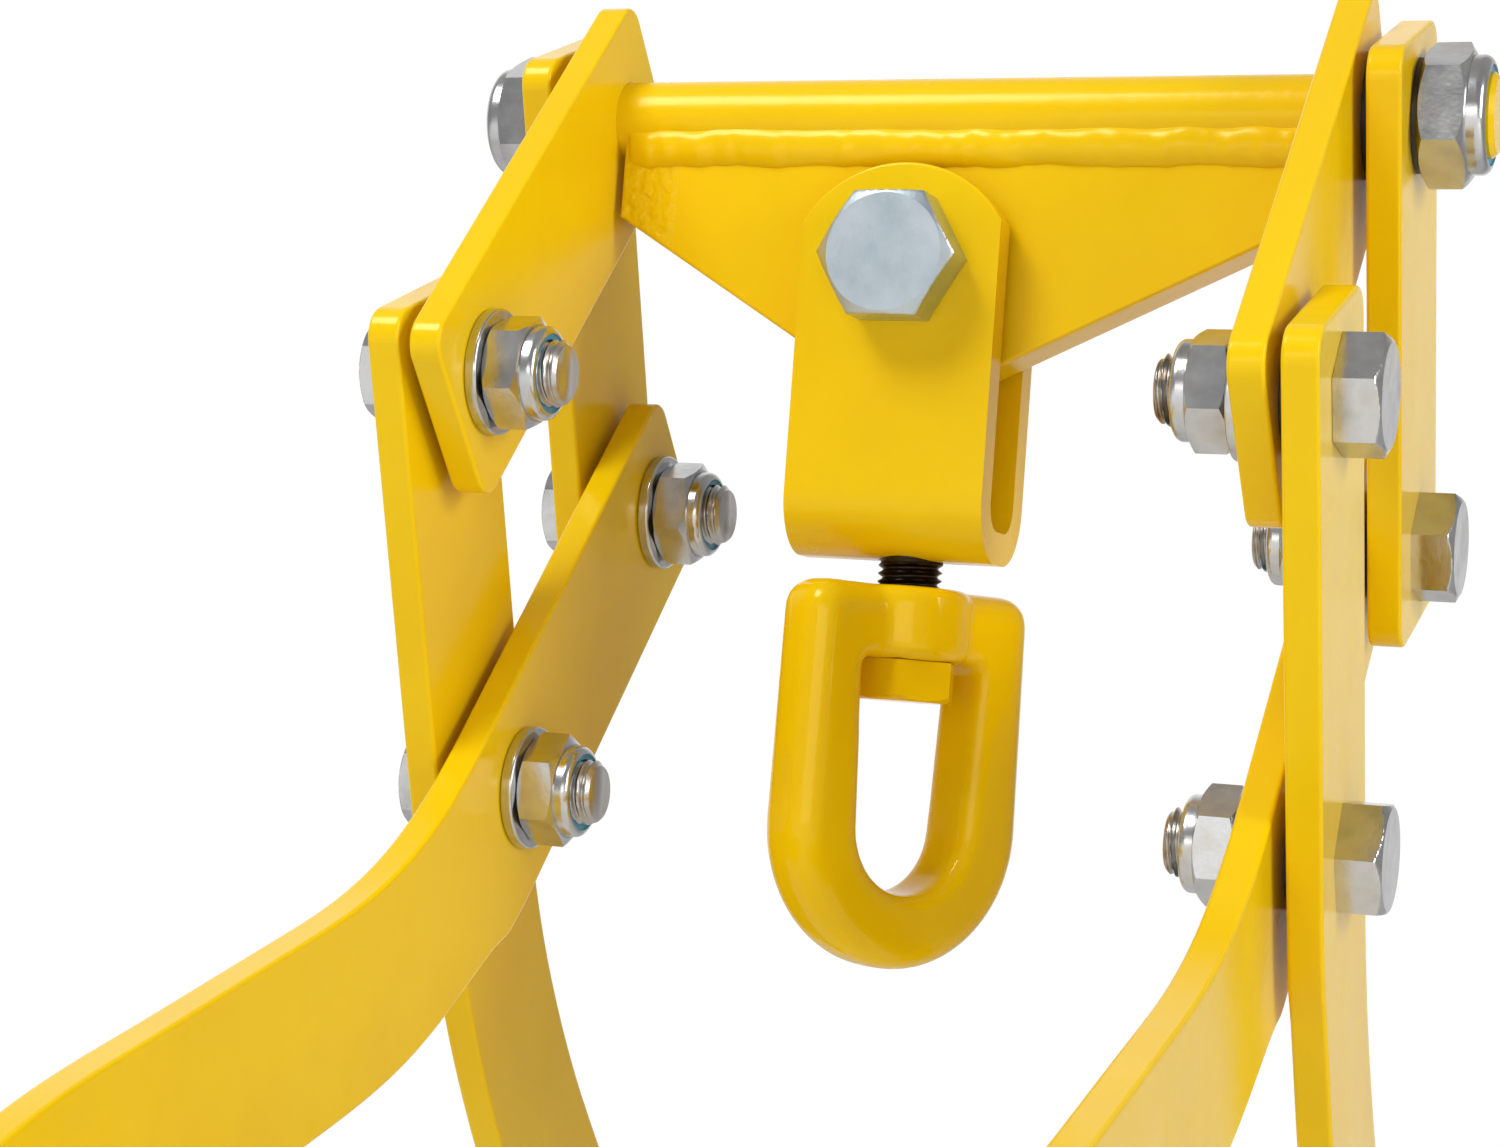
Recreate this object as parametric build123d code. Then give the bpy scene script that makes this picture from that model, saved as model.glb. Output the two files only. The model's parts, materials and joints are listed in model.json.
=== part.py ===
from build123d import *
import math
import os

# Four-claw log tongs: a cross bar with a gusset, clevis and swivel eye in the middle, and on each
# end a folding rhombus of two links and two claws.  Millimetres, +Z up, the bar along X.
# The tongs stand on their four claw tips at Z = 0, and their two ends are mirror images of each
# other about X = 0.  The origin lies on the ground under the middle of the whole.

# ---- driving dimensions ---------------------------------------------------------------------
ARM = 105.0              # pitch of the bolt holes in every link and in every claw's upper arm
HALF_ANGLE = 33.0        # each link's slope from the vertical, as assembled, in degrees
PLATE_T = 8.0            # flat bar that links, claws and clevis are cut from
PLATE_W = 50.0           # its width
PLATE_CORNER_R = 7.0     # corners of the links' and the upper arms' square ends
END_PAST_HOLE = 19.5     # a plate runs this far past its end hole
SPACER_T = 3.0           # two thin washers keep the inner and the outer plates apart
INNER_GAP = 180.0        # clear distance between the two inner plates
EDGE_R = 0.9             # rounding that the powder coat gives to every cut edge

BAR_D = 20.0             # cross bar, threaded M20 at its ends
BAR_HOLE_R = 10.05       # running fit of the links on the bar
BAR_Y = 28.27            # the bar stands this far behind the middle of the whole
BEAM_LEAN = 11.5         # the beam stands turned this far to the rear about the bar, in degrees
LUG_X = -9.5             # the gusset's bolt hole and the clevis lie a little off the middle
STEM_X = -6.5            # so does the hole for the eye's stem

# heights of the gusset, the clevis and the eye are measured from the bar's axis
GUSSET_T = 15.0
GUSSET_HALF = 88.0       # half its length along the bar
GUSSET_TOP_Z = -4.0      # its top edge lies inside the bar
GUSSET_END_Z = -26.0     # lower corners of its ends
GUSSET_POINT_Z = -74.0   # where its two slopes would meet, before the point is rounded
GUSSET_POINT_R = 26.0
LUG_Z = -38.0            # clevis bolt hole
WELD_R = 4.6             # a bead of this radius, centred at WELD_Y and WELD_Z beside the gusset
WELD_Y = 6.4
WELD_Z = -9.2
WELD_SHORT = 6.0         # each end of a bead stops this far short of the gusset's end
BAR_PAST_NUT = 1.5       # the bar's ends stand this far out of their nuts
BAR_CHAMFER = 1.2

CLEVIS_W = 50.0
CLEVIS_GAP = 20.0
CLEVIS_TOP_Z = -14.0     # top of the ears' arch
CLEVIS_SHOULDER_Z = -28.0    # where the ears' straight sides end and the arch begins
CLEVIS_BOTTOM_Z = -110.0
CLEVIS_BEND_R = 7.0      # inside radius of the two bends
CLEVIS_EDGE_R = 0.8
CLEVIS_BOLT_TURN = 30.0  # how far the clevis bolt's flats are turned, in degrees
STEM_TURN = 17.0         # and the stem bolt's
STEM_PAST_CLEVIS = 3.0   # the stem's end stands this far above the clevis's bottom

BOSS_TOP_Z = -116.5      # the swivel eye's boss
BOSS_BOTTOM_Z = -134.5
BOSS_R = 15.5
BOSS_EDGE_R = 3.0
EYE_BOTTOM_Z = -210.0
EYE_STOCK = 18.5
EYE_OUTER_R = 35.0
EYE_TOP_HALF = 34.0      # half the eye's width at its top
EYE_HOLE_TOP_HALF = 18.5     # half its hole's width at the hole's top
EYE_CORNER_R = 7.0
EYE_HOLE_CORNER_R = 2.5
EYE_OUTSIDE_ROUND = 6.8  # rounding of the forging's outer and inner edges
EYE_INSIDE_ROUND = 4.0
EYE_TURN = 57.0          # the eye stands turned this far about its stem, in degrees

# claws: outward flare below the centre pivot, as radius, angle and straight run after it.  The
# front claws flare more, and the runs keep all four tips level.
FLARE = {True: (205.0, 30.0, 103.64), False: (300.0, 24.0, 45.68)}
HOOK_R = 150.0           # inward hook down to the tip
HOOK_ANGLE = 92.0
CLAW_W = 45.0            # width of the lower arm
NECK_RUN = 60.0          # length over which the arm narrows to that width
TIP_W = 9.0
TIP_RUN = 120.0          # length over which the claw narrows to its tip
TIP_POWER = 1.4          # over 1, so that the narrowing starts gently

RUN_FIT = 0.05           # radial clearance of turning fits
FACE_GAP = 0.05          # axial clearance of turning faces

# M16 and M20 fasteners: across flats, head height, nut height, bolt end past the nut
M16 = dict(d=16.0, af=24.0, head=10.0, nut=13.0, tip=4.0)
M20 = dict(d=20.0, af=30.0, head=12.5, nut=15.0, tip=4.0)
FLAT_TURN = {"front": 4, "rear": 4, "centre": 14}    # how far each bolt's flats are turned
HEX_FLAT = 0.97          # a hexagon's end is turned to this share of its width across flats
HEX_CLEAR = 1.02         # the turning cone runs out just past the corners
HEX_CONE = math.radians(30)
SHANK_CHAMFER = 0.09     # the bolt's end chamfer, as a share of its diameter
NUT_HEX = 0.72           # share of a lock nut's height that is hexagonal
NUT_COLLAR = 0.93        # its collar's diameter, as a share of the width across flats
NUT_LIP = 0.11           # width of the collar's rounded lip, as a share of the thread
NYLON_TOP = 0.2          # the nylon ring's seat, as a share of the nut's height
NYLON_RECESS = 0.5       # the ring lies this far inside the lip
WASHER_D = 30.0
WASHER_T = 3.0
WASHER_EDGE_R = 0.6
SPACER_D = 26.0
BAR_SPACER_D = 30.0
BAR_WASHER_D = 27.0
BAR_WASHER_T = 1.5

THROUGH = 200.0          # a cutter of this length goes right through any piece

INNER_X = INNER_GAP / 2
LAYER_X = {"inner": INNER_X, "outer": INNER_X + PLATE_T + SPACER_T}
OUTER_FACE_X = LAYER_X["outer"] + PLATE_T

PHI = math.radians(HALF_ANGLE)
DROP = ARM * math.cos(PHI)
REACH = ARM * math.sin(PHI)


# ---- claw outline ---------------------------------------------------------------------------
def claw_line(s, front):
    """Centre line below the centre pivot: point and heading at arc length s.

    The claw's own frame has the centre pivot at the origin, its upper arm along +Y and the
    side that it flares to along +X.  The heading is measured from -Y towards +X."""
    radius, degrees, straight = FLARE[front]
    flare = math.radians(degrees)
    if s <= radius * flare:
        a = s / radius
        return radius * (1 - math.cos(a)), -radius * math.sin(a), a
    x = radius * (1 - math.cos(flare))
    y = -radius * math.sin(flare)
    run = min(s - radius * flare, straight)
    x += run * math.sin(flare)
    y -= run * math.cos(flare)
    heading = flare - max(s - radius * flare - straight, 0.0) / HOOK_R
    x += HOOK_R * (math.cos(heading) - math.cos(flare))
    y -= HOOK_R * (math.sin(flare) - math.sin(heading))
    return x, y, heading


def claw_length(front):
    radius, degrees, straight = FLARE[front]
    return radius * math.radians(degrees) + straight + HOOK_R * math.radians(HOOK_ANGLE)


def claw_half_width(s, length):
    """Half width of the lower arm at arc length s: even, then narrowing to the tip."""
    even = PLATE_W / 2 + (CLAW_W - PLATE_W) / 2 * min(s / NECK_RUN, 1.0)
    if s <= length - TIP_RUN:
        return even
    k = (s - length + TIP_RUN) / TIP_RUN
    return even + (TIP_W / 2 - even) * k ** TIP_POWER


def claw_side(side, front, count=15):
    """Points down one edge of the lower arm; side is +1 for the outer edge, -1 for the inner."""
    points = []
    length = claw_length(front)
    for i in range(count + 1):
        s = length * i / count
        x, y, a = claw_line(s, front)
        w = side * claw_half_width(s, length)
        points.append((x + w * math.cos(a), y + w * math.sin(a)))
    return points


def claw_tip(front):
    x, y, a = claw_line(claw_length(front), front)
    return x + TIP_W * math.sin(a), y - TIP_W * math.cos(a)


def tip_heading(front):
    a = claw_line(claw_length(front), front)[2]
    return math.sin(a), -math.cos(a)


def from_claw(x, y, front):
    """A point of the claw's own frame in the assembly, relative to the centre pivot."""
    up = (math.sin(PHI), math.cos(PHI))
    out = (-math.cos(PHI), math.sin(PHI))
    sign = 1 if front else -1
    return sign * (x * out[0] + y * up[0]), x * out[1] + y * up[1]


# the lowest point of the tips sets the height of the bar above the ground
LOWEST = min(from_claw(*p, front)[1] for front in (True, False)
             for p in claw_side(1, front) + claw_side(-1, front) + [claw_tip(front)])
BAR_Z = 2 * DROP - LOWEST

PIVOT = {
    "bar": (BAR_Y, BAR_Z),
    "front": (BAR_Y - REACH, BAR_Z - DROP),
    "rear": (BAR_Y + REACH, BAR_Z - DROP),
    "centre": (BAR_Y, BAR_Z - 2 * DROP),
}


# ---- helpers --------------------------------------------------------------------------------
def rod(diameter, x0, x1):
    """Solid cylinder along X."""
    return Pos(x0, 0, 0) * Rot(0, 90, 0) * extrude(Circle(diameter / 2), x1 - x0)


def ring(outer, inner, x0, x1):
    return rod(outer, x0, x1) - rod(inner, x0 - 1, x1 + 1)


def hexagon(af, x0, x1, chamfer_ends=(True, True)):
    """Hexagonal prism along X whose corners are turned off by 30 degree cones."""
    radius = af / math.sqrt(3)
    prism = Pos(x0, 0, 0) * Rot(0, 90, 0) * extrude(RegularPolygon(radius, 6), x1 - x0)
    r_flat = af / 2 * HEX_FLAT
    r_big = radius * HEX_CLEAR
    fall = (r_big - r_flat) * math.tan(HEX_CONE)
    profile = [(x0, 0)]
    if chamfer_ends[0]:
        profile += [(x0, r_flat), (x0 + fall, r_big)]
    else:
        profile.append((x0, r_big))
    if chamfer_ends[1]:
        profile += [(x1 - fall, r_big), (x1, r_flat)]
    else:
        profile.append((x1, r_big))
    profile.append((x1, 0))
    turned = revolve(make_face(Polyline(*[(x, r, 0) for x, r in profile], close=True)), Axis.X)
    return prism & turned


def bolt(size, head_x, tip_x):
    """Hex bolt along X: head from head_x outwards, plain shank with a chamfered end at tip_x."""
    shank = rod(size["d"], tip_x, head_x + 1)
    shank = chamfer(shank.edges().sort_by(Axis.X)[0], size["d"] * SHANK_CHAMFER)
    return hexagon(size["af"], head_x, head_x + size["head"], (False, True)) + shank


def lock_nut(size, x_seat):
    """Self-locking nut, seated at x_seat and standing towards -X, with a round collar.

    Returns the steel nut and the nylon ring inside its collar."""
    height = size["nut"]
    end = x_seat - height
    lip = size["d"] * NUT_LIP
    collar_r = size["af"] * NUT_COLLAR / 2
    body = hexagon(size["af"], x_seat - height * NUT_HEX, x_seat)
    collar = Rot(0, -90, 0) * extrude(Circle(collar_r), height)
    body += Pos(x_seat, 0, 0) * fillet(collar.edges().sort_by(Axis.X)[0], lip)
    lip_d = 2 * (collar_r - lip)
    nylon_x = end + height * NYLON_TOP
    body = body - rod(size["d"], end - 1, x_seat + 1) - rod(lip_d, end - 1, nylon_x)
    nylon = ring(lip_d, size["d"], end + NYLON_RECESS, nylon_x)
    return body, nylon


def mirror_side(shape, side):
    return shape if side > 0 else mirror(shape, Plane.YZ)


def at(pivot, shape):
    y, z = PIVOT[pivot]
    return Pos(0, y, z) * shape


def plate(face, layer):
    """Flat plate of a face drawn in the YZ plane, in the inner or the outer layer."""
    return extrude(Pos(LAYER_X[layer], 0, 0) * face, PLATE_T, dir=(1, 0, 0))


def soften(solid, radius):
    """Round the edges of both broad faces of a plate."""
    faces = solid.faces().filter_by(Axis.X).sort_by(Axis.X)
    return fillet(faces[0].outer_wire().edges() + faces[-1].outer_wire().edges(), radius)


# ---- links and claws ------------------------------------------------------------------------
def link(front):
    """Square-ended flat link from the bar down to the front or the rear pivot."""
    length = ARM + 2 * END_PAST_HOLE
    # the rectangle's own Y runs along the link; it is stood upright in the YZ plane
    outline = Plane.YZ * Pos(0, -ARM / 2) * RectangleRounded(PLATE_W, length, PLATE_CORNER_R)
    solid = plate(outline, "inner" if front else "outer")
    solid = at("bar", Rot(-HALF_ANGLE if front else HALF_ANGLE, 0, 0) * solid)
    solid = soften(solid, EDGE_R)
    solid -= at("bar", rod(2 * BAR_HOLE_R, 0, THROUGH))
    return solid - at("front" if front else "rear", rod(M16["d"], 0, THROUGH))


def claw(front):
    """Claw that reaches to the front (inner layer) or to the rear (outer layer)."""
    half = PLATE_W / 2
    top = ARM + END_PAST_HOLE
    outer = claw_side(1, front)
    inner = claw_side(-1, front)
    end = tip_heading(front)

    def place(point):
        return Vector(0, *from_claw(*point, front))

    lines = [
        Polyline(*[place(p) for p in ((-half, 0), (-half, top), (half, top), (half, 0))]),
        Spline(*[place(p) for p in outer], tangents=(place((0, -1)), place(end))),
        Polyline(place(outer[-1]), place(claw_tip(front)), place(inner[-1])),
        Spline(*[place(p) for p in reversed(inner)], tangents=(-place(end), place((0, 1)))),
    ]
    face = make_face(Wire([edge for line in lines for edge in line.edges()]))
    solid = plate(face, "inner" if front else "outer")
    corners = [e for e in solid.edges().filter_by(Axis.X) if above(e.center(), front, ARM)]
    solid = Pos(0, *PIVOT["centre"]) * fillet(corners, PLATE_CORNER_R)
    solid = soften(solid, EDGE_R)
    # the rear pivot's bolt turns in the front claw, and the centre bolt in the front claw
    upper = "rear" if front else "front"
    centre_d = M16["d"] + (2 * RUN_FIT if front else 0)
    solid -= at(upper, rod(M16["d"] + 2 * RUN_FIT, 0, THROUGH))
    return solid - at("centre", rod(centre_d, 0, THROUGH))


def above(point, front, height):
    """True if a point lies above the given height in the claw's own frame."""
    sign = 1 if front else -1
    along = sign * point.Y * math.sin(PHI) + point.Z * math.cos(PHI)
    return along > height


# ---- fasteners of one pivot -----------------------------------------------------------------
def spacer_pair(outer, inner):
    """Two thin washers that fill the gap between the inner and the outer plates."""
    low = LAYER_X["inner"] + PLATE_T + FACE_GAP
    thick = SPACER_T / 2 - 2 * FACE_GAP
    return [ring(outer, inner, low, low + thick),
            ring(outer, inner, low + thick + 2 * FACE_GAP, low + 2 * thick + 2 * FACE_GAP)]


def pivot_set(name):
    """Bolt, washer, lock nut, nylon ring and the two spacer washers of one M16 pivot.

    At the front pivot they stay with the inner plate, at the others with the outer plate, and
    they stand clear of the plate that turns on them."""
    with_inner = name == "front"
    head_x = OUTER_FACE_X + (2 * FACE_GAP if with_inner else 0)
    washer_x = INNER_X - (0 if with_inner else 2 * FACE_GAP)
    nut_seat = washer_x - WASHER_T
    tip_x = nut_seat - M16["nut"] - M16["tip"]
    nut, nylon = lock_nut(M16, nut_seat)
    washer = rod(WASHER_D, nut_seat, washer_x)
    rims = washer.edges().filter_by(GeomType.CIRCLE)
    pieces = {
        "bolt": [bolt(M16, head_x, tip_x)],
        "washer": [fillet(rims, WASHER_EDGE_R) - rod(M16["d"], 0, THROUGH)],
        "nut": [nut],
        "nylon": [nylon],
        "spacers": spacer_pair(SPACER_D, M16["d"]),
    }
    turn = Rot(FLAT_TURN[name], 0, 0)
    return {kind: [at(name, turn * s) for s in solids] for kind, solids in pieces.items()}


# ---- beam, clevis and eye, drawn hanging straight down and then leaned about the bar ----------
def lean(shape):
    return at("bar", Rot(BEAM_LEAN, 0, 0) * shape)


def cross_bar():
    end = OUTER_FACE_X + BAR_WASHER_T + M20["nut"] + BAR_PAST_NUT
    solid = rod(BAR_D, -end, end)
    return chamfer(solid.edges().filter_by(GeomType.CIRCLE), BAR_CHAMFER)


def gusset():
    """Triangular plate under the bar with a bored lug at its point."""
    outline = [(-GUSSET_HALF, GUSSET_TOP_Z), (GUSSET_HALF, GUSSET_TOP_Z),
               (GUSSET_HALF, GUSSET_END_Z), (LUG_X, GUSSET_POINT_Z), (-GUSSET_HALF, GUSSET_END_Z)]
    face = make_face(Polyline(*[(x, 0, z) for x, z in outline], close=True))
    solid = extrude(face, GUSSET_T / 2, both=True, dir=(0, 1, 0))
    point = solid.edges().filter_by(Axis.Y).sort_by(Axis.Z)[0]
    solid = fillet(point, GUSSET_POINT_R)
    rims = [e for f in solid.faces().filter_by(Axis.Y) for e in f.outer_wire().edges()
            if e.center().Z < GUSSET_TOP_Z - 1]
    solid = fillet(rims, EDGE_R)
    solid -= rod(BAR_D, -THROUGH, THROUGH)
    hole = Pos(LUG_X, 0, LUG_Z) * Rot(90, 0, 0) * Cylinder(M20["d"] / 2 + RUN_FIT, THROUGH)
    return solid - hole


def weld_beads():
    """One convex fillet weld along each side of the gusset, against the bar."""
    beads = []
    for side in (-1, 1):
        length = 2 * (GUSSET_HALF - WELD_SHORT)
        bead = Pos(0, side * WELD_Y, WELD_Z) * Rot(0, 90, 0) * Cylinder(WELD_R, length)
        bead -= rod(BAR_D, -THROUGH, THROUGH)
        bead -= Pos(0, 0, -THROUGH / 2) * Box(2 * THROUGH, GUSSET_T, THROUGH)
        beads.append(max(bead.solids(), key=lambda s: abs(s.center().Y)))
    return beads


def along_y(shape):
    """Turn a fastener drawn along X so that its head points to -Y."""
    return Rot(0, 0, -90) * shape


def bar_end_parts():
    """Thin dark washer, lock nut and nylon ring on each threaded end of the bar."""
    nut, nylon = lock_nut(M20, 0)
    seat = OUTER_FACE_X + BAR_WASHER_T
    out = Pos(seat, 0, 0) * Rot(0, 0, 180)
    washer = ring(BAR_WASHER_D, M20["d"], OUTER_FACE_X + FACE_GAP, seat)
    return washer, out * nut, out * nylon


def bottom_bends(box, mid):
    """The two lower edges of a box that run along X."""
    return [e for e in box.edges().filter_by(Axis.X) if e.center().Z < mid]


def clevis():
    """U bent from 50 x 8 flat bar: two arched ears with a bolt hole, and a tapped bottom."""
    half = CLEVIS_W / 2
    height = CLEVIS_TOP_Z - CLEVIS_BOTTOM_Z
    mid = (CLEVIS_TOP_Z + CLEVIS_BOTTOM_Z) / 2
    block = Pos(0, 0, mid) * Box(CLEVIS_W, CLEVIS_GAP + 2 * PLATE_T, height)
    slot = Pos(0, 0, mid + PLATE_T) * Box(THROUGH, CLEVIS_GAP, height)
    solid = (fillet(bottom_bends(block, mid), CLEVIS_BEND_R + PLATE_T)
             - fillet(bottom_bends(slot, mid), CLEVIS_BEND_R))
    arch = make_face([
        Line((-half, 0, -THROUGH), (half, 0, -THROUGH)),
        Line((half, 0, -THROUGH), (half, 0, CLEVIS_SHOULDER_Z)),
        ThreePointArc((half, 0, CLEVIS_SHOULDER_Z), (0, 0, CLEVIS_TOP_Z),
                      (-half, 0, CLEVIS_SHOULDER_Z)),
        Line((-half, 0, CLEVIS_SHOULDER_Z), (-half, 0, -THROUGH)),
    ])
    solid &= extrude(arch, THROUGH, both=True, dir=(0, 1, 0))
    solid = fillet([e for e in solid.edges().filter_by(GeomType.CIRCLE)
                    if e.center().Z > CLEVIS_SHOULDER_Z], CLEVIS_EDGE_R)
    solid -= Pos(0, 0, LUG_Z) * Rot(90, 0, 0) * Cylinder(M20["d"] / 2, THROUGH)
    solid -= Pos(STEM_X - LUG_X, 0, CLEVIS_BOTTOM_Z) * Cylinder(M16["d"] / 2, height)
    return Pos(LUG_X, 0, 0) * solid


def clevis_fasteners():
    outer = CLEVIS_GAP / 2 + PLATE_T
    bolt_solid = bolt(M20, outer, -outer - M20["nut"] - M20["tip"])
    nut, nylon = lock_nut(M20, -outer)
    place = Pos(LUG_X, 0, LUG_Z)
    return [place * along_y(Rot(CLEVIS_BOLT_TURN, 0, 0) * s) for s in (bolt_solid, nut, nylon)]


def stem_bolt():
    """Bolt that hangs the eye: screwed up through the clevis, its head under the eye's boss."""
    top_z = CLEVIS_BOTTOM_Z + PLATE_T + STEM_PAST_CLEVIS
    stem = bolt(M16, FACE_GAP - BOSS_BOTTOM_Z, -top_z)
    return Pos(STEM_X, 0, 0) * Rot(0, 90, 0) * Rot(STEM_TURN, 0, 0) * stem


def swivel_eye():
    """Forged D-shaped eye with a bored boss across its top."""
    centre_z = EYE_BOTTOM_Z + EYE_OUTER_R
    inner_r = EYE_OUTER_R - EYE_STOCK
    inner_top = EYE_HOLE_TOP_HALF
    outer = make_face([
        ThreePointArc((EYE_OUTER_R, 0, centre_z), (0, 0, EYE_BOTTOM_Z), (-EYE_OUTER_R, 0, centre_z)),
        Line((-EYE_OUTER_R, 0, centre_z), (-EYE_TOP_HALF, 0, BOSS_TOP_Z)),
        Line((-EYE_TOP_HALF, 0, BOSS_TOP_Z), (EYE_TOP_HALF, 0, BOSS_TOP_Z)),
        Line((EYE_TOP_HALF, 0, BOSS_TOP_Z), (EYE_OUTER_R, 0, centre_z)),
    ])
    hole = make_face([
        ThreePointArc((inner_r, 0, centre_z), (0, 0, centre_z - inner_r), (-inner_r, 0, centre_z)),
        Line((-inner_r, 0, centre_z), (-inner_top, 0, BOSS_BOTTOM_Z)),
        Line((-inner_top, 0, BOSS_BOTTOM_Z), (inner_top, 0, BOSS_BOTTOM_Z)),
        Line((inner_top, 0, BOSS_BOTTOM_Z), (inner_r, 0, centre_z)),
    ])
    solid = extrude(outer, EYE_STOCK / 2, both=True, dir=(0, 1, 0))
    top_corners = [e for e in solid.edges().filter_by(Axis.Y) if e.center().Z > BOSS_TOP_Z - 1]
    solid = fillet(top_corners, EYE_CORNER_R)
    solid -= extrude(hole, THROUGH, both=True, dir=(0, 1, 0))
    hole_corners = [e for e in solid.edges().filter_by(Axis.Y)
                    if abs(e.center().Z - BOSS_BOTTOM_Z) < 1 and abs(e.center().X) < inner_top + 1]
    solid = fillet(hole_corners, EYE_HOLE_CORNER_R)
    rims = [e for f in solid.faces().filter_by(Axis.Y) for e in f.outer_wire().edges()]
    solid = fillet(rims, EYE_OUTSIDE_ROUND)
    inner_rims = [e for f in solid.faces().filter_by(Axis.Y) for w in f.inner_wires()
                  for e in w.edges()]
    solid = fillet(inner_rims, EYE_INSIDE_ROUND)
    height = BOSS_TOP_Z - BOSS_BOTTOM_Z
    middle = Pos(0, 0, (BOSS_TOP_Z + BOSS_BOTTOM_Z) / 2)
    boss = middle * Cylinder(BOSS_R, height)
    solid += fillet(boss.edges().filter_by(GeomType.CIRCLE), BOSS_EDGE_R)
    solid -= middle * Cylinder(M16["d"] / 2 + RUN_FIT, 2 * height)
    return Pos(STEM_X, 0, 0) * Rot(0, 0, EYE_TURN) * solid


# ---- nodes ----------------------------------------------------------------------------------
def build():
    nodes = {}
    nodes["cross_bar"] = [lean(cross_bar())]
    nodes["gusset_plate"] = [lean(gusset())]
    nodes["gusset_welds"] = [lean(bead) for bead in weld_beads()]
    washer, nut, nylon = bar_end_parts()
    for name, solid in (("bar_end_washers", washer), ("bar_end_nuts", nut),
                        ("bar_end_nylon", nylon)):
        nodes[name] = [lean(mirror_side(solid, side)) for side in (1, -1)]
    nodes["clevis"] = [lean(clevis())]
    for name, solid in zip(("clevis_bolt", "clevis_nut", "clevis_nylon"), clevis_fasteners()):
        nodes[name] = [lean(solid)]
    nodes["stem_bolt"] = [lean(stem_bolt())]
    nodes["swivel_eye"] = [lean(swivel_eye())]

    plates = {"front_link": link(True), "rear_link": link(False),
              "front_claw": claw(True), "rear_claw": claw(False)}
    bar_spacers = [at("bar", s) for s in spacer_pair(BAR_SPACER_D, 2 * BAR_HOLE_R)]
    for word, side in (("left", -1), ("right", 1)):
        for name, solid in plates.items():
            nodes[f"{word}_{name}"] = [mirror_side(solid, side)]
        nodes[f"{word}_bar_spacers"] = [mirror_side(s, side) for s in bar_spacers]
        for pivot in ("front", "rear", "centre"):
            for kind, solids in pivot_set(pivot).items():
                nodes[f"{word}_{pivot}_{kind}"] = [mirror_side(s, side) for s in solids]
    return nodes


os.makedirs("parts", exist_ok=True)
for node, solids in build().items():
    loose = [s for shape in solids for s in shape.solids()]
    export_step(loose[0] if len(loose) == 1 else Compound(children=loose), f"parts/{node}.step")
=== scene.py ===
import json
import math

import bmesh
import bpy
from mathutils import Euler, Matrix, Vector, noise


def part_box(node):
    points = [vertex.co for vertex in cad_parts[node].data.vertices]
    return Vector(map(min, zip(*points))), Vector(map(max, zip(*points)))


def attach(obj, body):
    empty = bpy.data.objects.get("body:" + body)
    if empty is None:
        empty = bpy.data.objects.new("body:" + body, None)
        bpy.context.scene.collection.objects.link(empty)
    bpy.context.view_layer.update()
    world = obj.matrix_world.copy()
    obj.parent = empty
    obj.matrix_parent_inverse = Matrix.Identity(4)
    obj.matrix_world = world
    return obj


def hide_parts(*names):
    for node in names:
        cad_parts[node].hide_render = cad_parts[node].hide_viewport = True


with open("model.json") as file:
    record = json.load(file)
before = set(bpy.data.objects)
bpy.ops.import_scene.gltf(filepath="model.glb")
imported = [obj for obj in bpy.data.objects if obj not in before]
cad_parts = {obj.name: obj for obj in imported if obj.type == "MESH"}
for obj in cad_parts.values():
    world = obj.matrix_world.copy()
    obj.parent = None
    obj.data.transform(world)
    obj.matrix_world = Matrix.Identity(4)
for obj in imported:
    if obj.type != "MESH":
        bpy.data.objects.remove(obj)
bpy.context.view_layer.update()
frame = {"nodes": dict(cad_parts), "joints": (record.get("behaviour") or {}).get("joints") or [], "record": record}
nodes = frame["nodes"]

# ---- sizes and places, in metres --------------------------------------------------------------
JOINTS = {j["name"]: j for j in frame["joints"]}
BAR = Vector(JOINTS["left_turn"]["pos_m"])
UP = Vector(JOINTS["eye_swivel"]["axis"]).normalized()
LEAN = math.atan2(-UP.y, UP.z)
# the beam's own frame: the bar along X, the clevis hanging straight down
BEAM = Matrix.Translation(BAR) @ Matrix.Rotation(LEAN, 4, "X")
BAR_R = 0.010
GUSSET_T = 0.015
WELD_HALF = 0.0865                      # half the length of a weld bead
PEBBLE_X = (-0.0745, -0.0725)           # the pebbled patch of the gusset's paint fades out here
CLEVIS_X = JOINTS["clevis_swing"]["pos_m"][0]
CLEVIS_HALF = 0.018                     # half its thickness over both ears
STEM_X = JOINTS["eye_swivel"]["pos_m"][0]
# heights in the beam's own frame, from the bar's axis
LUG_Z = -0.038
CLEVIS_BOTTOM = -0.110
STEM_TOP = -0.099
BOSS_BOTTOM = -0.1345
# fasteners: diameter, width across flats, head height, pitch and turn of the flats in degrees
M16_D, M16_AF, M16_HEAD, M16_PITCH = 0.016, 0.024, 0.010, 0.002
M20_D, M20_AF, M20_HEAD, M20_PITCH = 0.020, 0.030, 0.0125, 0.0025
M16_THREAD = 0.020                      # threaded length of a pivot bolt
CLEVIS_BOLT_TAIL = 0.037                # the clevis bolt's end, from the middle of the clevis
PIVOT_TURN, CENTRE_TURN, STEM_TURN = 4.0, 14.0, 17.0
HALF_TURN = Matrix.Rotation(math.pi, 4, "X")


# ---- small helpers ----------------------------------------------------------------------------
def new_object(name, bm, material, smooth_deg=40):
    """Makes a mesh object of a bmesh, shaded smooth except at sharp edges."""
    mesh = bpy.data.meshes.new(name)
    bm.normal_update()
    for face in bm.faces:
        face.smooth = True
    for edge in bm.edges:
        if len(edge.link_faces) == 2:
            edge.smooth = edge.calc_face_angle(0.0) < math.radians(smooth_deg)
    bm.to_mesh(mesh)
    bm.free()
    obj = bpy.data.objects.new(name, mesh)
    bpy.context.scene.collection.objects.link(obj)
    mesh.materials.append(material)
    return obj


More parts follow.
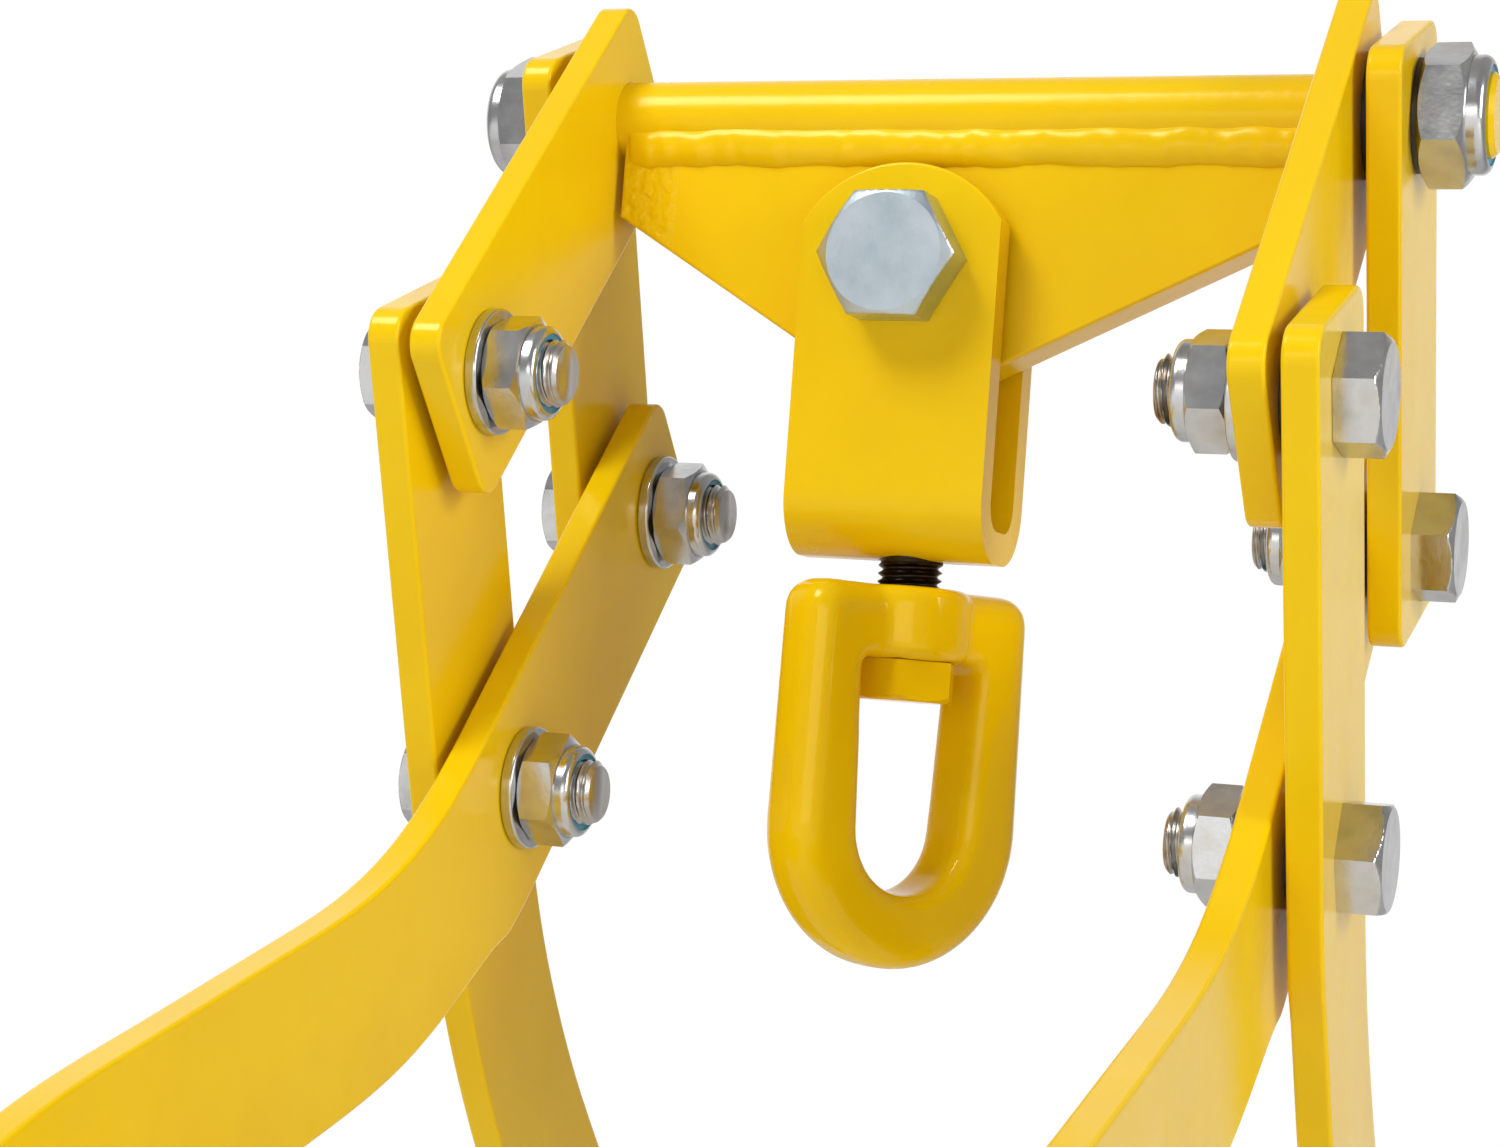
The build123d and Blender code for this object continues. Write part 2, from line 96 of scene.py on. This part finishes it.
def link_nodes(tree, *pairs):
    for a, b in pairs:
        tree.links.new(a, b)


def noise_node(tree, scale, detail=2.0, roughness=0.5):
    """Noise texture in the object's own metres."""
    coords = tree.nodes.new("ShaderNodeTexCoord")
    node = tree.nodes.new("ShaderNodeTexNoise")
    node.inputs["Scale"].default_value = scale
    node.inputs["Detail"].default_value = detail
    node.inputs["Roughness"].default_value = roughness
    tree.links.new(coords.outputs["Object"], node.inputs["Vector"])
    return node


def ramp_node(tree, source, stops):
    """Colour ramp over a factor: stops are (position, colour)."""
    node = tree.nodes.new("ShaderNodeValToRGB")
    ramp = node.color_ramp
    while len(ramp.elements) < len(stops):
        ramp.elements.new(0.5)
    for element, (position, colour) in zip(ramp.elements, stops):
        element.position = position
        element.color = (*colour, 1.0)
    tree.links.new(source, node.inputs["Fac"])
    return node


def map_node(tree, source, low, high):
    """Maps a 0..1 factor to low..high."""
    node = tree.nodes.new("ShaderNodeMapRange")
    node.inputs["To Min"].default_value = low
    node.inputs["To Max"].default_value = high
    tree.links.new(source, node.inputs["Value"])
    return node


def bump_node(tree, height, strength, distance, normal=None):
    node = tree.nodes.new("ShaderNodeBump")
    node.inputs["Strength"].default_value = strength
    node.inputs["Distance"].default_value = distance
    tree.links.new(height, node.inputs["Height"])
    if normal is not None:
        tree.links.new(normal, node.inputs["Normal"])
    return node


def new_material(name):
    material = bpy.data.materials.new(name)
    material.use_nodes = True
    tree = material.node_tree
    return material, tree, tree.nodes["Principled BSDF"]


# ---- materials --------------------------------------------------------------------------------
YELLOW = (0.84, 0.550, 0.002)
YELLOW_DEEP = (0.79, 0.490, 0.002)


def paint(name, roughness, peel, peel_scale=320.0):
    """Yellow powder coat: slight shade drift, fine orange peel and a clear glossy film."""
    material, tree, shader = new_material(name)
    drift = noise_node(tree, 14.0, 3.0)
    shade = ramp_node(tree, drift.outputs["Fac"], [(0.3, YELLOW_DEEP), (0.62, YELLOW)])
    gloss = noise_node(tree, 60.0, 4.0, 0.6)
    rough = map_node(tree, gloss.outputs["Fac"], roughness * 0.75, roughness * 1.35)
    fine = noise_node(tree, peel_scale, 1.0)
    waves = noise_node(tree, 45.0, 2.0)
    broad = bump_node(tree, waves.outputs["Fac"], 0.12, 0.002)
    bump = bump_node(tree, fine.outputs["Fac"], peel, 0.0006, broad.outputs["Normal"])
    link_nodes(tree, (shade.outputs["Color"], shader.inputs["Base Color"]),
               (rough.outputs["Result"], shader.inputs["Roughness"]),
               (bump.outputs["Normal"], shader.inputs["Normal"]))
    shader.inputs["Specular IOR Level"].default_value = 0.3
    shader.inputs["Specular Tint"].default_value = (1.0, 0.84, 0.42, 1.0)
    shader.inputs["Coat Weight"].default_value = 0.08
    shader.inputs["Coat Roughness"].default_value = 0.08
    return material


def metal(name, colours, rough_low, rough_high, scale=55.0, bump=0.08):
    """Plated or oiled steel with mottled colour and uneven gloss."""
    material, tree, shader = new_material(name)
    mottle = noise_node(tree, scale, 4.0, 0.62)
    shade = ramp_node(tree, mottle.outputs["Fac"], colours)
    wear = noise_node(tree, scale * 2.7, 3.0)
    rough = map_node(tree, wear.outputs["Fac"], rough_low, rough_high)
    grain = noise_node(tree, 900.0, 2.0)
    relief = bump_node(tree, grain.outputs["Fac"], bump, 0.0003)
    link_nodes(tree, (shade.outputs["Color"], shader.inputs["Base Color"]),
               (rough.outputs["Result"], shader.inputs["Roughness"]),
               (relief.outputs["Normal"], shader.inputs["Normal"]))
    shader.inputs["Metallic"].default_value = 1.0
    return material


def nylon_material():
    material, tree, shader = new_material("blue_nylon")
    cloud = noise_node(tree, 240.0, 2.0)
    shade = ramp_node(tree, cloud.outputs["Fac"],
                      [(0.3, (0.008, 0.16, 0.30)), (0.7, (0.02, 0.30, 0.48))])
    tree.links.new(shade.outputs["Color"], shader.inputs["Base Color"])
    shader.inputs["Roughness"].default_value = 0.28
    shader.inputs["Specular IOR Level"].default_value = 0.6
    return material


def peeled_end(name):
    """The gusset's paint: smooth, but pebbled near the plate's left end, where the film is thick."""
    material = paint(name, 0.22, 0.06)
    tree = material.node_tree
    shader = tree.nodes["Principled BSDF"]
    smooth_normal = shader.inputs["Normal"].links[0].from_socket
    coords = tree.nodes.new("ShaderNodeTexCoord")
    parts = tree.nodes.new("ShaderNodeSeparateXYZ")
    pebble = noise_node(tree, 420.0, 1.0)
    inside = map_node(tree, parts.outputs["X"], 1.0, 0.0)
    inside.inputs["From Min"].default_value = PEBBLE_X[0]
    inside.inputs["From Max"].default_value = PEBBLE_X[1]
    height = tree.nodes.new("ShaderNodeMath")
    height.operation = "MULTIPLY"
    relief = bump_node(tree, height.outputs["Value"], 0.9, 0.0009, smooth_normal)
    link_nodes(tree, (coords.outputs["Object"], parts.inputs["Vector"]),
               (pebble.outputs["Fac"], height.inputs[0]), (inside.outputs["Result"], height.inputs[1]),
               (relief.outputs["Normal"], shader.inputs["Normal"]))
    return material


MATERIALS = {
    "beam_paint": paint("beam_paint", 0.24, 0.10),
    "plate_paint": paint("plate_paint", 0.20, 0.05),
    "forged_paint": paint("forged_paint", 0.13, 0.06, peel_scale=180.0),
    "weld_paint": paint("weld_paint", 0.22, 0.25, peel_scale=240.0),
    "zinc": metal("zinc", [(0.28, (0.42, 0.42, 0.42)), (0.52, (0.62, 0.62, 0.61)),
                           (0.75, (0.50, 0.46, 0.38))], 0.12, 0.30),
    "nylon": nylon_material(),
    "dark_steel": metal("dark_steel", [(0.3, (0.035, 0.032, 0.03)), (0.7, (0.10, 0.095, 0.09))],
                        0.3, 0.5),
    "black_steel": metal("black_steel", [(0.3, (0.018, 0.014, 0.012)), (0.7, (0.07, 0.05, 0.035))],
                         0.25, 0.5),
}
TIP_STEEL = metal("tip_steel", [(0.35, (0.30, 0.23, 0.17)), (0.55, (0.52, 0.50, 0.47))], 0.22, 0.4)
BLUE_ZINC = metal("blue_zinc", [(0.3, (0.47, 0.55, 0.60)), (0.7, (0.60, 0.67, 0.71))], 0.32, 0.48,
                  scale=70.0, bump=0.15)
SLOT_OF = {part["node"]: part["material_slot"] for part in frame["record"]["subparts"]}
for node, obj in nodes.items():
    obj.data.materials.clear()
    obj.data.materials.append(MATERIALS[SLOT_OF[node]])
nodes["gusset_plate"].data.materials[0] = peeled_end("gusset_paint")


# ---- pieces that replace plain CAD solids -----------------------------------------------------
def grid_skin(bm, rings):
    """Skins a list of vertex rings, each a closed loop of the same count, and caps the ends."""
    count = len(rings[0])
    for a, b in zip(rings, rings[1:]):
        for i in range(count):
            j = (i + 1) % count
            bm.faces.new((a[i], a[j], b[j], b[i]))
    bm.faces.new(tuple(reversed(rings[0])))
    bm.faces.new(tuple(rings[-1]))
    bmesh.ops.recalc_face_normals(bm, faces=bm.faces)


def turned(bm, levels, radius_at, steps):
    """Closed body about local Z: radius_at(angle, z) gives its radius at each level."""
    rings = []
    for z in levels:
        ring = []
        for i in range(steps):
            angle = 2 * math.pi * i / steps
            r = radius_at(angle, z)
            ring.append(bm.verts.new((r * math.cos(angle), r * math.sin(angle), z)))
        rings.append(ring)
    grid_skin(bm, rings)


def hex_radius(angle, across_flats):
    """Distance from the middle of a hexagon to its side, corners at multiples of 60 degrees."""
    third = math.pi / 3
    return across_flats / 2 / math.cos((angle % third) - third / 2)


def hex_head(name, place, across_flats, height, material):
    """Bolt head along local +Z: a plain hexagon below, corners cut by a 30 degree cone on top."""
    face_r = across_flats * 0.475       # radius of the round flat on top
    slope = math.tan(math.radians(60))
    cuts = 9                            # levels down the cone

    def radius_at(angle, z):
        cone = face_r + (height - z) * slope
        return min(hex_radius(angle, across_flats), cone)

    top = (across_flats / math.sqrt(3) - face_r) / slope
    levels = [0.0, height - top * 1.25]
    levels += [height - top * (1 - i / cuts) for i in range(cuts + 1)]
    bm = bmesh.new()
    turned(bm, levels, radius_at, steps=96)
    bm.transform(place)
    return new_object(name, bm, material, 25)


def threaded_rod(name, place, diameter, pitch, start, plain_to, end, material):
    """Rod along local Z from start to end, threaded beyond plain_to, with a chamfered tip."""
    depth = 0.61 * pitch
    core = diameter / 2 - depth
    per_pitch = 10                      # levels along each turn of the thread

    def radius_at(angle, z):
        phase = ((z - plain_to) / pitch - angle / (2 * math.pi)) % 1.0
        crest = diameter / 2 - depth * min(1.0, abs(2 * phase - 1) * 1.25)
        blend = min(max((z - plain_to) / pitch, 0.0), 1.0)
        r = diameter / 2 * (1 - blend) + crest * blend
        return min(r, core * 0.97 + (end - z))

    count = int((end - plain_to) / (pitch / per_pitch))
    levels = [start, plain_to - 1e-5]
    levels += [plain_to + (end - plain_to) * i / count for i in range(count + 1)]
    bm = bmesh.new()
    turned(bm, levels, radius_at, steps=40)
    bm.transform(place)
    return new_object(name, bm, material, 60)


def axis_frame(node, outward):
    """Local frame of a fastener: origin in the middle of its node's box, +Z along outward."""
    low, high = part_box(node)
    aim = outward.to_track_quat("Z", "Y").to_matrix().to_4x4()
    return Matrix.Translation((low + high) / 2) @ aim


def pivot_bolt(node, side):
    """M16 hex bolt of a claw pivot: head outside, threaded tip standing out of the lock nut."""
    low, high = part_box(node)
    half = (high.x - low.x) / 2
    turn = math.radians(CENTRE_TURN if "centre" in node else PIVOT_TURN)
    place = axis_frame(node, Vector((side, 0.0, 0.0))) @ Matrix.Rotation(turn, 4, "Z")
    head = hex_head(node + "_head", place @ Matrix.Translation((0, 0, half - M16_HEAD)),
                    M16_AF, M16_HEAD, MATERIALS["zinc"])
    rod = threaded_rod(node + "_thread", place @ HALF_TURN, M16_D, M16_PITCH,
                       M16_HEAD - half, half - M16_THREAD, half, TIP_STEEL)
    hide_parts(node)
    for piece in (head, rod):
        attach(piece, body_of(node))


def body_of(node):
    """The body that a CAD node rides on."""
    for body, members in frame["record"]["behaviour"]["bodies"].items():
        if node in members:
            return body
    raise KeyError(node)


def clevis_bolt():
    """M20 hex bolt through the clevis, its pale head towards -Y."""
    place = BEAM @ Matrix.Translation((CLEVIS_X, 0.0, LUG_Z)) @ Matrix.Rotation(math.pi / 2, 4, "X")
    head = hex_head("clevis_bolt_head", place @ Matrix.Translation((0, 0, CLEVIS_HALF)),
                    M20_AF, M20_HEAD, BLUE_ZINC)
    rod = threaded_rod("clevis_bolt_thread", place @ HALF_TURN, M20_D, M20_PITCH,
                       -CLEVIS_HALF, CLEVIS_HALF, CLEVIS_BOLT_TAIL, TIP_STEEL)
    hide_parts("clevis_bolt")
    for piece in (head, rod):
        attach(piece, "clevis")


def stem_bolt():
    """Black M16 thread between the clevis and the eye, and the painted head inside the eye."""
    down = BEAM @ Matrix.Translation((STEM_X, 0.0, 0.0)) @ HALF_TURN
    thread_from = -CLEVIS_BOTTOM - 0.0005
    thread_to = -BOSS_BOTTOM - 0.004
    rod = threaded_rod("stem_thread", down, M16_D, M16_PITCH, -STEM_TOP, thread_from, thread_to,
                       MATERIALS["black_steel"])
    face_gap = 0.00005
    seat = Matrix.Translation((0, 0, face_gap - BOSS_BOTTOM))
    head = hex_head("stem_head", down @ seat @ Matrix.Rotation(math.radians(STEM_TURN), 4, "Z"),
                    M16_AF, M16_HEAD, MATERIALS["forged_paint"])
    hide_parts("stem_bolt")
    for piece in (rod, head):
        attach(piece, "clevis")


def softened_eye():
    """The forged eye: the CAD shape with its boss blended into the ring, as a forging's is."""
    mesh = nodes["swivel_eye"].data.copy()
    rough = bpy.data.objects.new("eye_rough", mesh)
    bpy.context.scene.collection.objects.link(rough)
    remesh = rough.modifiers.new("remesh", "REMESH")
    remesh.mode = "VOXEL"
    remesh.voxel_size = 0.0009
    smooth = rough.modifiers.new("smooth", "SMOOTH")
    smooth.factor = 0.5
    smooth.iterations = 14
    bpy.context.view_layer.update()
    graph = bpy.context.evaluated_depsgraph_get()
    bm = bmesh.new()
    bm.from_object(rough, graph)
    bpy.data.objects.remove(rough)
    eye = new_object("forged_eye", bm, MATERIALS["forged_paint"], 80)
    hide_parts("swivel_eye")
    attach(eye, "eye")


def weld_bead(name, side):
    """Hand-laid fillet weld between the bar and one face of the gusset, painted over.

    Its toe wanders along the plate, and its face swells where each dab of metal was laid."""
    stations = 230
    face_points = 12
    toe_z = -0.0132             # the toe's line along the plate
    crown_height = 0.0016       # swell of the bead's face
    bar_degrees = 64            # how far round the bar, from below, the upper edge lies
    seed = 3.7 if side < 0 else 41.2
    bm = bmesh.new()
    rings = []
    for i in range(stations + 1):
        t = i / stations
        x = (2 * t - 1) * WELD_HALF
        drift = noise.noise(Vector((x * 70, seed, 0.0)))
        ripple = noise.noise(Vector((x * 260, seed, 5.0)))
        end = min(1.0, min(t, 1 - t) * 30) ** 0.5
        toe = toe_z - (0.0010 * drift + 0.0003 * ripple) * end + 0.0018 * (1 - end)
        crown = (crown_height + 0.0004 * ripple + 0.0003 * drift) * end
        rise = math.radians(bar_degrees + 5 * noise.noise(Vector((x * 90, seed, 9.0))))
        upper = Vector((-BAR_R * math.sin(rise), -BAR_R * math.cos(rise)))
        lower = Vector((-GUSSET_T / 2, toe))
        outward = Vector((upper.y - lower.y, -(upper.x - lower.x))).normalized()
        if outward.x > 0:
            outward = -outward
        ring = []
        for k in range(face_points + 1):
            u = k / face_points
            ring.append(upper.lerp(lower, u) + outward * crown * math.sin(math.pi * u) ** 0.7)
        ring += [Vector((-GUSSET_T / 2 + 0.002, toe)), Vector((-BAR_R * 0.6, -BAR_R * 0.5))]
        rings.append([bm.verts.new((x, y * -side, z)) for y, z in ring])
    grid_skin(bm, rings)
    bm.transform(BEAM)
    bead = new_object(name, bm, MATERIALS["weld_paint"], 60)
    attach(bead, "beam")
    return bead


def build_pieces():
    for word, side in (("left", -1), ("right", 1)):
        for pivot in ("front", "rear", "centre"):
            pivot_bolt(f"{word}_{pivot}_bolt", side)
    clevis_bolt()
    stem_bolt()
    softened_eye()
    front = weld_bead("front_weld", -1)
    weld_bead("rear_weld", 1)
    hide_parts("gusset_welds")


# ---- floor, light and camera ------------------------------------------------------------------
def build_stage():
    """Plain pale floor, soft studio lights, and a world that is white on one side only."""
    bm = bmesh.new()
    bmesh.ops.create_grid(bm, x_segments=1, y_segments=1, size=6.0)
    floor_material, _, shader = new_material("floor")
    shader.inputs["Base Color"].default_value = (0.86, 0.86, 0.86, 1.0)
    shader.inputs["Roughness"].default_value = 0.7
    new_object("floor", bm, floor_material)

    world = bpy.data.worlds.new("studio")
    bpy.context.scene.world = world
    world.use_nodes = True
    tree = world.node_tree
    background = tree.nodes["Background"]
    direction = tree.nodes.new("ShaderNodeTexCoord")
    facing = tree.nodes.new("ShaderNodeVectorMath")
    facing.operation = "DOT_PRODUCT"
    white_side = Vector((-0.58, 0.78, 0.22))
    facing.inputs[1].default_value = white_side.normalized()
    across = map_node(tree, facing.outputs["Value"], 0.0, 1.0)
    across.inputs["From Min"].default_value = -1.0
    shade = ramp_node(tree, across.outputs["Result"],
                      [(0.0, (0.30, 0.30, 0.31)), (0.76, (0.36, 0.36, 0.37)),
                       (0.915, (1.02, 1.02, 1.02))])
    link_nodes(tree, (direction.outputs["Generated"], facing.inputs[0]),
               (shade.outputs["Color"], background.inputs["Color"]))
    background.inputs["Strength"].default_value = 1.0

    def soft_light(name, place, aim, size, power):
        data = bpy.data.lights.new(name, "AREA")
        data.shape = "RECTANGLE"
        data.size, data.size_y = size
        data.energy = power
        lamp = bpy.data.objects.new(name, data)
        lamp.location = place
        lamp.rotation_euler = (aim - place).to_track_quat("-Z", "Y").to_euler()
        bpy.context.scene.collection.objects.link(lamp)

    middle = Vector((0.0, 0.0, 0.40))
    soft_light("key", Vector((-0.7, -1.2, 1.5)), middle, (0.7, 0.7), 20.0)
    soft_light("fill", Vector((1.5, -0.5, 0.8)), middle, (0.5, 1.0), 14.0)
    soft_light("low_front", Vector((0.2, -1.5, 0.15)), middle, (1.2, 0.4), 3.0)


def build_camera():
    """Long lens, a little to the right of the object's front and below the bar, looking up."""
    data = bpy.data.cameras.new("camera")
    data.lens = 78.6
    data.sensor_width = 36.0
    data.shift_x = 0.1566
    data.shift_y = 0.0043
    camera = bpy.data.objects.new("camera", data)
    camera.location = BAR + Vector((0.2374, -0.7253, -0.3113))
    camera.rotation_euler = Euler([math.radians(a) for a in (103.354, -9.026, 22.919)], "XYZ")
    bpy.context.scene.collection.objects.link(camera)
    bpy.context.scene.camera = camera


build_pieces()
build_stage()
build_camera()
bpy.context.scene.view_settings.view_transform = "Standard"
